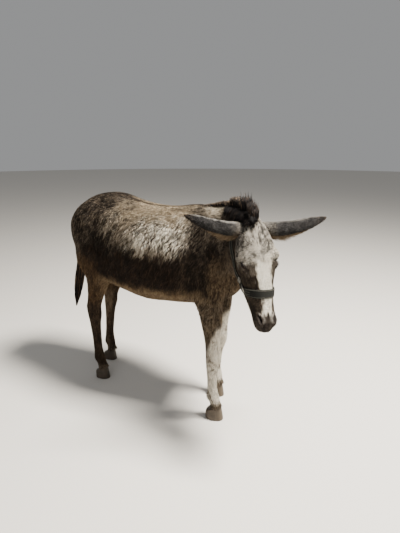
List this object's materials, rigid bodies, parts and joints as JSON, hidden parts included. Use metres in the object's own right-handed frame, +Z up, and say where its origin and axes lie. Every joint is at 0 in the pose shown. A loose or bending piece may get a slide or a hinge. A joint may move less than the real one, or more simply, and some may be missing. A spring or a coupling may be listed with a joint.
{
  "type": "standing donkey model",
  "caption": "Life-size still donkey standing with its head hung low and turned aside, ears held out sideways, wearing a webbing headcollar.",
  "frame": {"origin": "on the floor under the middle of the model's bounding box", "axes": "+X towards the animal's chest, +Y to its left, +Z up; the head turns towards -Y"},
  "size_m": [1.6266, 0.6314, 1.266],
  "materials": {
    "coat": "short grizzled brown and grey hair, lying flat",
    "dark_coat": "dark brown to black hair",
    "pale_coat": "short grey-white hair",
    "horn": "dull ringed hoof horn",
    "eye": "wet, very dark brown",
    "webbing": "worn dark grey-green woven webbing"
  },
  "bodies": {
    "root": {"trunk": "coat", "neck": "coat", "head": "coat", "muzzle": "dark_coat", "ear_left": "coat", "ear_right": "coat", "eye_left": "eye", "eye_right": "eye", "mane": "dark_coat", "forelock": "dark_coat", "tail_dock": "coat", "tail_switch": "dark_coat", "forearm_right": "coat", "forearm_left": "coat", "fore_cannon_right": "pale_coat", "fore_cannon_left": "pale_coat", "fore_pastern_right": "pale_coat", "fore_pastern_left": "pale_coat", "gaskin_right": "coat", "gaskin_left": "coat", "hind_cannon_right": "coat", "hind_cannon_left": "coat", "hind_pastern_right": "coat", "hind_pastern_left": "coat", "hoof_front_right": "horn", "hoof_front_left": "horn", "hoof_back_right": "horn", "hoof_back_left": "horn", "noseband": "webbing", "cheek_strap_left": "webbing", "cheek_strap_right": "webbing", "crown_strap": "webbing"}
  },
  "joints": []
}
